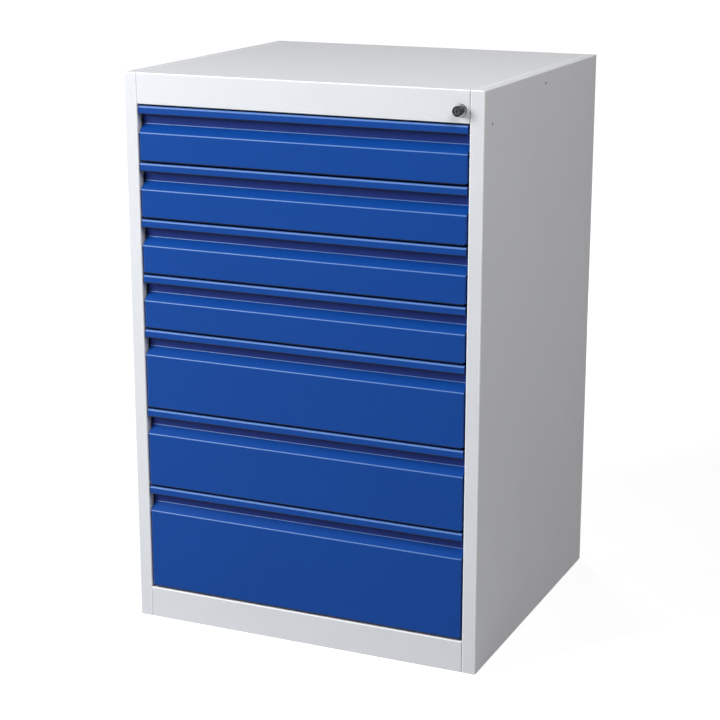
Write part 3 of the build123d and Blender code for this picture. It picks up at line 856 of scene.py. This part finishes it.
def side_skin(holes):
    """Right-hand side. The section runs from the flange return, round the flange and along the wall. Its
    rows climb the wall, then go in by r (1 - cos a) and up by r sin a round the top, and lie flat up to the
    strip's edge, where two more rows bound the painted highlight line beside the seam."""
    sizes = bpy.context.scene.cabinet_housing
    low, high = np.array(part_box("right_side_panel"))
    front, side, top = low[1], high[0], high[2]
    opening, seam, roll = side - sizes.flange, seam_behind_side(), sizes.top_bend
    corners = [(opening, front + sizes.flange_return), (opening, front), (side, front), (side, seam)]
    section = rounded(corners, sizes.side_bend)
    lines_y = [line for (_, y, _), radius in holes for line in cell_lines(y, radius)]
    lines_z = sorted(line for (_, _, z), radius in holes for line in cell_lines(z, radius))
    section = with_points(section, *((side, y) for y in lines_y))
    upright = np.array([low[2], *lines_z, top - roll])
    flat = np.broadcast_to(section[:, None, :], (len(section), len(upright), 2))
    wall = np.dstack([flat, np.broadcast_to(upright, flat.shape[:2])])

    # Round the top: how far each point of the section goes in, and where it ends on the flat
    rim = section[1:]
    opening_bend = slice(0, BEND_STEPS + 1)
    corner = slice(BEND_STEPS + 1, 2 * BEND_STEPS + 2)
    along_wall = slice(2 * BEND_STEPS + 2, None)
    swing = np.linspace(0, math.pi / 2, BEND_STEPS + 1)
    outward = np.zeros_like(rim)
    outward[opening_bend, 1] = -np.sin(swing)
    outward[corner] = np.stack([np.sin(swing), -np.cos(swing)], axis=1)
    outward[along_wall, 0] = 1.0
    inner_bend = sizes.seam
    inner = np.stack([rim[:, 0], np.full(len(rim), front + sizes.top_corner)], axis=1)
    centre = np.array([side - sizes.top_strip - inner_bend, front + sizes.top_corner + inner_bend])
    inner[corner] = centre + inner_bend * outward[corner]
    inner[along_wall, 0] = side - sizes.top_strip
    inner[along_wall, 1] = rim[along_wall, 1]
    rows = [rim - outward * roll * (1 - math.cos(a)) for a in swing]
    step = sizes.highlight_line / 2 / (sizes.top_strip - roll) * (rows[-1] - inner)
    rows += [inner + 2 * step, inner + step, inner]
    heights = [top - roll + roll * math.sin(a) for a in swing] + [top] * 3
    cap = np.stack([np.column_stack([row, np.full(len(row), z)]) for row, z in zip(rows, heights)], axis=1)
    return combine([grid(wall, holes=holes), grid(cap)])


def flush_screws(axis):
    """Middles of the flush screws that lie along an axis."""
    return [(low + high) / 2 for low, high in solids("panel_screws") if np.argmax(high - low) == axis]


class CABINET_OT_side_panels(bpy.types.Operator):
    """Builds both side panels, with their front flanges, top strips and foot flanges"""

    bl_idname = "cabinet.side_panels"
    bl_label = "Side panels"

    def execute(self, context):
        sizes = context.scene.cabinet_housing
        low, high = np.array(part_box("right_side_panel"))
        side, top, seam = high[0], high[2], seam_behind_side()
        strip_sheet = 0.8 * sizes.sheet
        strip = bent(
            rounded([(side - sizes.top_strip, top), (side, top), (side, top - sizes.sheet)], strip_sheet),
            [seam, high[1]], 1, strip_sheet, metal_right=True,
        )
        foot = slab(
            (side - sizes.flange, low[1] + sizes.side_bend, low[2]), (side - sizes.sheet, seam, sizes.sheet)
        )
        for word, sign in (("right", 1), ("left", -1)):
            holes = [((side, y, z), sizes.screw_hole) for x, y, z in flush_screws(0) if x * sign > 0]
            parts = [shell(side_skin(holes), sizes.sheet), strip, foot]
            if sign < 0:
                parts = [mirrored(part) for part in parts]
            put(f"{word}_side", parts, housing_paint(), f"{word}_side_panel")
        return {"FINISHED"}


class CABINET_OT_top_panel(bpy.types.Operator):
    """Builds the top panel: deck, rail and its folds, rear fold, and folds tucked under the side strips"""

    bl_idname = "cabinet.top_panel"
    bl_label = "Top panel"

    def execute(self, context):
        sizes, lock_sizes = context.scene.cabinet_housing, context.scene.cabinet_lock
        low, high = np.array(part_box("top_panel"))
        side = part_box("right_side_panel")[1][0]
        front, back, top, wall = low[1], high[1], high[2], high[0]
        edge = side - sizes.top_strip - 0.6 * sizes.seam
        rail = side - sizes.flange - sizes.seam
        notch = front + sizes.top_corner + sizes.seam
        bottom = top - sizes.rail_height
        path = rounded(
            [(back, top - sizes.rear_fold), (back, top), (front, top), (front, bottom),
             (front + sizes.rail_return, bottom), (front + sizes.rail_return, bottom + sizes.rail_hem)],
            [sizes.top_bend, sizes.top_bend, sizes.small_bend, sizes.small_bend],
        )

        # Between its two ends, a tucked fold takes the place of the deck's outermost strip
        tuck_y = (front + sizes.top_strip, seam_behind_side())
        lock = np.mean(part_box("lock_nut"), axis=0)
        hole = lock_sizes.body + lock_sizes.body_play
        lines_x, lines_z = (cell_lines(lock[i], hole, reach=1.3) for i in (0, 2))
        path = with_points(
            path, (tuck_y[1], top), (tuck_y[0], top), (notch, top), *((front, z) for z in lines_z)
        )
        roll = 0.95 * sizes.sheet
        fold = edge - roll - sizes.highlight_line
        stations = np.array([-edge, -fold, -rail, *lines_x, rail, fold, edge])
        row = np.arange(len(path) - 1)
        on_rail = row >= np.argmax(path[:, 0] < notch + SLACK)
        middle = (path[:-1, 0] + path[1:, 0]) / 2
        beside_tuck = (middle > tuck_y[0]) & (middle < tuck_y[1])
        keep = np.ones((len(row), len(stations) - 1), bool)
        keep[on_rail, :2] = keep[on_rail, -2:] = False
        keep[beside_tuck, 0] = keep[beside_tuck, -1] = False
        deck = carried(
            path, stations, 0, metal_right=False, keep=keep, holes=[((lock[0], front, lock[2]), hole)]
        )
        section = rounded(
            [(fold, top), (edge, top), (edge, top - sizes.sheet), (wall, top - sizes.sheet),
             (wall, top - sizes.tuck)],
            [roll, sizes.sheet - roll, sizes.small_bend],
        )
        # The extra point makes narrow faces for the painted highlight line beside the seam
        section = with_points(section, (fold + sizes.highlight_line / 2, top))
        tuck = carried(section, tuck_y, 1, metal_right=True)
        tab = slab(
            (rail - sizes.sheet, front + sizes.top_bend, bottom + sizes.small_bend),
            (rail, front + sizes.flange_return, top - sizes.sheet),
        )
        sheet = shell(combine([deck, *both_sides(tuck)]), sizes.sheet)
        put("top", [sheet, *both_sides(tab)], housing_paint(), "top_panel")
        return {"FINISHED"}


class CABINET_OT_back_panel(bpy.types.Operator):
    """Builds the back panel, wrapped round both rear corners, with its screw holes"""

    bl_idname = "cabinet.back_panel"
    bl_label = "Back panel"

    def execute(self, context):
        sizes = context.scene.cabinet_housing
        low, high = np.array(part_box("back_panel"))
        rear, screws = high[1], flush_screws(1)
        lines_x, lines_z = (
            sorted({round(line, 6) for place in screws for line in cell_lines(place[i], sizes.screw_hole)})
            for i in (0, 2)
        )
        corners = [(low[0], low[1]), (low[0], rear), (high[0], rear), (high[0], low[1])]
        path = with_points(rounded(corners, sizes.rear_bend), *((x, rear) for x in lines_x))
        holes = [((x, rear, z), sizes.screw_hole) for x, _, z in screws]
        back = bent(path, [low[2], *lines_z, high[2]], 2, sizes.sheet, metal_right=True, holes=holes)
        put("back", [back], housing_paint(), "back_panel")
        return {"FINISHED"}


class CABINET_OT_plinth(bpy.types.Operator):
    """Builds the plinth, a channel under the last drawer with a tab at each end"""

    bl_idname = "cabinet.plinth"
    bl_label = "Plinth"

    def execute(self, context):
        sizes = context.scene.cabinet_housing
        low, high = np.array(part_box("plinth_panel"))
        front, top, end = low[1], high[2], high[0]
        deep = front + sizes.plinth_return
        path = rounded(
            [(deep, top), (front, top), (front, low[2]), (deep, low[2])], [sizes.top_bend, sizes.small_bend]
        )
        channel = bent(path, [-end, end], 0, sizes.sheet, metal_right=False)
        tab = slab(
            (end - sizes.sheet, front + sizes.top_bend, sizes.sheet),
            (end, front + sizes.flange_return, top - sizes.sheet),
        )
        put("plinth", [channel, *both_sides(tab)], housing_paint(), "plinth_panel")
        return {"FINISHED"}


class CABINET_OT_frame(bpy.types.Operator):
    """Paints the floor and the four slotted posts, and breaks their edges"""

    bl_idname = "cabinet.frame"
    bl_label = "Floor and posts"

    def execute(self, context):
        sizes = context.scene.cabinet_housing
        dress("floor_panel", housing_paint(), sizes.floor_edge)
        for node in ("front_right_post", "front_left_post", "rear_right_post", "rear_left_post"):
            dress(node, housing_paint(), sizes.post_edge)
        return {"FINISHED"}


def drawer_front(node):
    """One sheet: the section is carried across the drawer, and the flat face has upright cheeks at its ends,
    folded back like the face's own foot. Beside the slope, recess and lip the sheet simply stops."""
    sizes = bpy.context.scene.cabinet_drawers
    low, high = np.array(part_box(node))
    front, bottom, top, half = low[1], low[2], high[2], high[0]
    sheet, recess = sizes.sheet, front + sizes.recess_depth
    corners = [
        (front + sizes.face_return, bottom), (front, bottom), (front, top - sizes.recess_mouth),
        (recess, top - sizes.recess_wall), (recess, top - sheet), (front + sheet, top - sheet),
        (front + sheet, top - sizes.lip + sheet), (front + sizes.lip_return, top - sizes.lip + sheet),
    ]
    path = rounded(corners, sheet_radii(corners, sizes.bend, sheet))
    face_start, face_end = BEND_STEPS + 1, BEND_STEPS + 2
    fold = sizes.bend + sheet
    keep = np.ones((len(path) - 1, 3), bool)
    keep[:face_end, [0, 2]] = False
    main = carried(path, [-half, fold - half, half - fold, half], 0, metal_right=True, keep=keep)
    cheek = carried(
        rounded([(half - 2 * fold, front), (half, front), (half, front + sizes.face_return)], fold)[1:],
        [path[face_start][1], path[face_end][1]], 2, metal_right=False,
    )
    return shell(combine([main, *both_sides(cheek)]), sheet)


class CABINET_OT_drawer_fronts(bpy.types.Operator):
    """Builds the seven drawer fronts"""

    bl_idname = "cabinet.drawer_fronts"
    bl_label = "Drawer fronts"

    def execute(self, context):
        for number in DRAWERS:
            node = f"drawer_{number}_front"
            put(f"front_{number}", [drawer_front(node)], front_paint(), node)
        return {"FINISHED"}


class CABINET_OT_drawer_boxes(bpy.types.Operator):
    """Builds the seven trays: floor and sides from one sheet, with a front and a rear wall on flat feet"""

    bl_idname = "cabinet.drawer_boxes"
    bl_label = "Drawer boxes"

    def execute(self, context):
        sizes = context.scene.cabinet_drawers
        for number in DRAWERS:
            node = f"drawer_{number}_box"
            low, high = np.array(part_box(node))
            half, sheet, hem = high[0], sizes.sheet, sizes.hem
            corners = [
                (hem - half, high[2]), (-half, high[2]), (-half, low[2]),
                (half, low[2]), (half, high[2]), (half - hem, high[2]),
            ]
            tray = bent(rounded(corners, sizes.tray_bend), [low[1], high[1]], 1, sheet, metal_right=False)
            width = [sheet - half, half - sheet]
            floor, rim = low[2] + sheet, high[2] - sheet
            front = [(low[1], rim), (low[1], floor), (low[1] + sizes.foot, floor)]
            rear = [(high[1] - sizes.foot, floor), (high[1], floor), (high[1], rim)]
            walls = [
                bent(rounded(wall, sizes.tray_bend), width, 0, sheet, metal_right=False)
                for wall in (front, rear)
            ]
            put(f"tray_{number}", [tray, *walls], tray_paint(), node)
        return {"FINISHED"}


def member(box, open_inwards, holes=()):
    """A runner member on the right: a C-shaped rail whose bends are the ball races, open towards the drawer
    or towards the housing."""
    sizes = bpy.context.scene.cabinet_runners
    low, high = box
    web, tip = (high[0], low[0]) if open_inwards else (low[0], high[0])
    path = rounded([(tip, low[2]), (web, low[2]), (web, high[2]), (tip, high[2])], sizes.race_bend)
    lines, places = [], []
    if holes:
        middle = (low[2] + high[2]) / 2
        path = with_points(path, *((web, z) for z in cell_lines(middle, sizes.screw_hole)))
        lines = [line for y in holes for line in cell_lines(y, sizes.screw_hole)]
        places = [((web, y, middle), sizes.screw_hole) for y in holes]
    return bent(path, [low[1], *lines, high[1]], 1, sizes.sheet, metal_right=not open_inwards, holes=places)


def reach_back(box):
    """How far a box goes from front to back."""
    return box[1][1] - box[0][1]


def right_member(node):
    """The box of a node's longest solid on the right side."""
    return max((box for box in solids(node) if box[0][0] > 0), key=reach_back)


class CABINET_OT_runners(bpy.types.Operator):
    """Builds the runners: the drawers' members with the lugs that the lock's hooks block, the middle ones,
    and the cabinet's with their screw holes"""

    bl_idname = "cabinet.runners"
    bl_label = "Runners"

    def execute(self, context):
        sheet = context.scene.cabinet_runners.lug_sheet
        for number in DRAWERS:
            node = f"drawer_{number}_runners"
            rail = member(right_member(node), open_inwards=False)
            low, high = min(solids(node), key=reach_back)
            path = rounded([(low[0], high[1]), (low[0], low[1]), (high[0], low[1])], 1.5 * sheet)
            lug = bent(path, [low[2], high[2]], 2, sheet, metal_right=False)
            put(f"drawer_member_{number}", [*both_sides(rail), lug], zinc_steel(), node)
        screws = sorted({round(float(low[1] + high[1]) / 2, 5) for low, high in solids("runner_screws")})
        for word, holes in (("middle", ()), ("cabinet", screws)):
            for number in DRAWERS:
                node = f"{word}_runners_{number}"
                rail = member(right_member(node), open_inwards=True, holes=holes)
                put(f"{word}_member_{number}", both_sides(rail), zinc_steel(), node)
        return {"FINISHED"}


def screw(face, axis, direction, radius, reach, sizes, dome):
    """A screw whose head's face is at the point given. Its recess is a ring of six lobes,
    of radius r (1 + 0.17 cos 6a)."""
    swing = np.arange(ROUND_STEPS) * 2 * math.pi / ROUND_STEPS
    lobes = 1 + 0.17 * np.cos(6 * swing)
    head, shank = sizes.screw_head, sizes.screw_shank
    recess, deep, chamfer = 0.40 * radius, 0.75 * head, 0.12 * radius
    profile = [
        (deep, 0.2 * recess * lobes), (deep, 0.9 * recess * lobes), (0.1 * head, recess * lobes),
        (0.0, 1.08 * recess * lobes), (0.0, 0.65 * radius), (0.3 * dome, 0.85 * radius),
        (dome + 0.3 * chamfer, radius - 0.3 * chamfer), (dome + chamfer, radius), (head, radius),
        (head, shank), (reach - 0.4 * shank, shank), (reach, 0.7 * shank),
    ]
    return solid_of_rings(spun(profile, face, axis, direction))


def screw_set(node, sizes, facing, dome, material):
    """All screws of a node. Their heads face outwards where facing is 1, and inwards where it is -1."""
    parts = []
    for low, high in solids(node):
        axis = int(np.argmax(high - low))
        face = (low + high) / 2
        outward = facing * math.copysign(1, face[axis])
        face[axis] = high[axis] if outward > 0 else low[axis]
        radius, reach = (high - low)[2] / 2, (high - low)[axis]
        parts.append(screw(face, axis, -outward, radius, reach, sizes, dome))
    put(f"{node[:-1]}_set", parts, material, node)


class CABINET_OT_screws(bpy.types.Operator):
    """Builds the flush screws through the sides and the back, and the pan-head screws of the runners"""

    bl_idname = "cabinet.screws"
    bl_label = "Screws"

    def execute(self, context):
        flush, pan = context.scene.cabinet_housing, context.scene.cabinet_runners
        screw_set("panel_screws", flush, 1, 0.0, screw_steel())
        screw_set("runner_screws", pan, -1, pan.screw_dome, zinc_steel())
        return {"FINISHED"}


class CABINET_OT_runner_stops(bpy.types.Operator):
    """Gives the rubber stops their finish and rounded edges"""

    bl_idname = "cabinet.runner_stops"
    bl_label = "Runner stops"

    def execute(self, context):
        dress("runner_stops", stop_rubber(), context.scene.cabinet_runners.stop_edge)
        return {"FINISHED"}


class CABINET_OT_lock_housing(bpy.types.Operator):
    """Builds the lock housing: barrel, rosette and threaded body, turned round the plug's bore"""

    bl_idname = "cabinet.lock_housing"
    bl_label = "Lock housing"

    def execute(self, context):
        sizes = context.scene.cabinet_lock
        low, high = np.array(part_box("lock_housing"))
        centre, rosette = (low + high) / 2, (high - low)[0] / 2
        centre[1] = low[1]
        rail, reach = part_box("top_panel")[0][1] - low[1], high[1] - low[1]
        bore, edge, chamfer = sizes.bore, sizes.rosette_edge, sizes.chamfer
        seat = rail - sizes.rosette_thick
        rim = [
            (sizes.barrel_edge * (1 - math.sin(a)), sizes.barrel - sizes.barrel_edge * (1 - math.cos(a)))
            for a in np.linspace(math.pi / 2, 0, BEND_STEPS)
        ]
        front = [
            (chamfer, bore), (0.0, bore + chamfer), (0.0, bore + 3 * chamfer), *rim,
            (seat, sizes.barrel), (seat, rosette - edge), (seat + 0.3 * edge, rosette - 0.3 * edge),
            (seat + edge, rosette), (rail, rosette), (rail, sizes.body),
        ]

        # Thread: radius R - depth * |2 f - 1|, where f is the fraction of a turn at each depth and angle
        around = np.arange(ROUND_STEPS) / ROUND_STEPS
        depths = np.arange(rail + sizes.rosette_thick, reach - 1.25 * chamfer, sizes.thread_pitch / 6)
        turns = depths[:, None] / sizes.thread_pitch + around
        radii = sizes.body - sizes.thread_depth * np.abs(2 * (turns % 1) - 1)
        root = sizes.body - sizes.thread_depth
        rear = [(reach - 0.75 * chamfer, root), (reach, root - chamfer), (reach, bore)]
        barrel = tube_of_rings(spun([*front, *zip(depths, radii), *rear], centre, 1))
        put("lock_barrel", [barrel], lock_metal(), "lock_housing")
        return {"FINISHED"}


class CABINET_OT_lock_cylinder(bpy.types.Operator):
    """Builds the plug that the key turns, with its curved keyway"""

    bl_idname = "cabinet.lock_cylinder"
    bl_label = "Lock cylinder"

    def execute(self, context):
        sizes = context.scene.cabinet_lock
        low, high = np.array(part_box("lock_cylinder"))
        centre, radius, reach = (low + high) / 2, (high - low)[0] / 2, (high - low)[1]
        centre[1] = low[1]
        chamfer, blunt = sizes.chamfer, 0.75 * sizes.chamfer
        turned = spun([
            (reach, 0.8 * radius), (reach, radius - blunt), (reach - blunt, radius),
            (1.25 * chamfer, radius), (0.25 * chamfer, radius - 0.5 * chamfer), (0.0, radius - 2 * blunt),
        ], centre, 1)

        # Keyway: half width w |cos a|^0.5 and half height h sin a, shifted sideways by a wave of its height
        swing = np.arange(ROUND_STEPS) * 2 * math.pi / ROUND_STEPS
        upright = np.sin(swing) * sizes.keyway_height / 2
        wave = 0.18 * sizes.keyway_width * np.sin(2 * math.pi * upright / sizes.keyway_height)
        sideways = 0.4 * sizes.keyway_width * np.sign(np.cos(swing)) * np.sqrt(np.abs(np.cos(swing))) + wave
        slot = np.stack([sideways, np.zeros(ROUND_STEPS), upright], axis=1)
        keyway = [
            centre + slot * gain + np.array([0, depth, 0])
            for gain, depth in ((1.12, 0.0), (1.0, 0.5 * chamfer), (0.98, sizes.keyway_depth))
        ]
        put("lock_plug", [solid_of_rings(np.concatenate([turned, keyway]))], plug_metal(), "lock_cylinder")
        return {"FINISHED"}


class CABINET_OT_lock_works(bpy.types.Operator):
    """Gives the nut, the cam, the locking bar with its head and hooks, and the bar's guides their finish"""

    bl_idname = "cabinet.lock_works"
    bl_label = "Lock works"

    def execute(self, context):
        for node in ("lock_nut", "lock_cam", "locking_bar", "bar_head", "bar_hooks", "bar_guides"):
            dress(node, zinc_steel(), context.scene.cabinet_lock.works_edge)
        return {"FINISHED"}


def lamp(name, where, aim, size, watts, tint=(1.0, 1.0, 1.0)):
    """A square area lamp that looks at a point."""
    light = bpy.data.lights.new(name, "AREA")
    light.size, light.energy, light.color = size, watts, tint
    piece = bpy.data.objects.new(name, light)
    bpy.context.scene.collection.objects.link(piece)
    piece.location = where
    piece.rotation_euler = (Vector(aim) - Vector(where)).to_track_quat("-Z", "Y").to_euler()


def background_ray(tree):
    """1 for the rays that show the background to the camera, a mirror or a glass, and 0 for the others."""
    ray = add(tree, "ShaderNodeLightPath").outputs
    seen = maths("MAXIMUM", ray["Is Camera Ray"], ray["Is Glossy Ray"])
    return maths("MAXIMUM", seen, ray["Is Transmission Ray"])


class CABINET_OT_studio(bpy.types.Operator):
    """Sets up the camera, the lamps, the white surroundings and the floor"""

    bl_idname = "cabinet.studio"
    bl_label = "Studio"

    def execute(self, context):
        scene, look = context.scene, context.scene.cabinet_studio
        lens = bpy.data.cameras.new("Camera")
        lens.lens = look.lens
        camera = bpy.data.objects.new("Camera", lens)
        scene.collection.objects.link(camera)
        camera.location = look.camera
        camera.rotation_euler = (math.pi / 2 - look.tilt, 0, look.turn)
        scene.camera = camera
        scene.view_settings.view_transform = "Standard"
        lamp("Key", look.key_place, look.aim, look.lamp_size, look.key, look.key_tint)
        lamp("Fill", look.fill_place, look.aim, look.lamp_size, look.fill)
        lamp("Back", look.back_place, look.aim, look.lamp_size / 2, look.back)

        # White as a background, and dimmer as light on the object
        world = bpy.data.worlds.new("World")
        world.use_nodes = True
        scene.world = world
        tree = world.node_tree
        strength = plus(times(background_ray(tree), 1.0 - look.room), look.room)
        background = tree.nodes["Background"]
        background.inputs["Color"].default_value = (1.0, 1.0, 1.0, 1.0)
        tree.links.new(strength, background.inputs["Strength"])

        material = bpy.data.materials.new("Studio floor")
        material.use_nodes = True
        tree = material.node_tree
        shader = tree.nodes["Principled BSDF"]
        shader.inputs["Base Color"].default_value = (look.floor, look.floor, look.floor, 1.0)
        shader.inputs["Roughness"].default_value = 1.0
        shader.inputs["Specular IOR Level"].default_value = 0.0
        shader.inputs["Emission Color"].default_value = (1.0, 1.0, 1.0, 1.0)
        away = vector_maths("LENGTH", object_place(tree), output="Value")
        whiter = add(tree, "ShaderNodeMapRange", {
            "Value": away, "From Min": 0.5 * look.floor_reach, "From Max": look.floor_reach,
            "To Min": look.floor_glow, "To Max": 1.0,
        }, interpolation_type="SMOOTHSTEP").outputs["Result"]
        tree.links.new(times(background_ray(tree), whiter), shader.inputs["Emission Strength"])
        bpy.ops.mesh.primitive_plane_add(size=look.floor_side)
        floor = context.object
        floor.name = "Floor"
        floor.data.materials.append(material)
        return {"FINISHED"}


PIECES = (
    CABINET_OT_side_panels, CABINET_OT_top_panel, CABINET_OT_back_panel, CABINET_OT_plinth,
    CABINET_OT_frame, CABINET_OT_drawer_fronts, CABINET_OT_drawer_boxes, CABINET_OT_runners,
    CABINET_OT_screws, CABINET_OT_runner_stops, CABINET_OT_lock_housing, CABINET_OT_lock_cylinder,
    CABINET_OT_lock_works, CABINET_OT_studio,
)


class CABINET_PT_build(bpy.types.Panel):
    """Settings, and a button for every group of pieces and for the studio"""

    bl_label = "Drawer cabinet"
    bl_idname = "CABINET_PT_build"
    bl_space_type = "VIEW_3D"
    bl_region_type = "UI"
    bl_category = "Cabinet"

    def draw(self, context):
        for name, group in SETTINGS.items():
            box = self.layout.box()
            for key in group.__annotations__:
                box.prop(getattr(context.scene, name), key)
        for piece in PIECES:
            self.layout.operator(piece.bl_idname)


CLASSES = (*SETTINGS.values(), *PIECES, CABINET_PT_build)


def register():
    for cls in CLASSES:
        bpy.utils.register_class(cls)
    for name, group in SETTINGS.items():
        setattr(bpy.types.Scene, name, bpy.props.PointerProperty(type=group))


def unregister():
    for name in SETTINGS:
        delattr(bpy.types.Scene, name)
    for cls in reversed(CLASSES):
        bpy.utils.unregister_class(cls)


def main():
    register()
    for piece in PIECES:
        family, name = piece.bl_idname.split(".")
        getattr(getattr(bpy.ops, family), name)()
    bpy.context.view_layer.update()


if __name__ == "__main__":
    main()
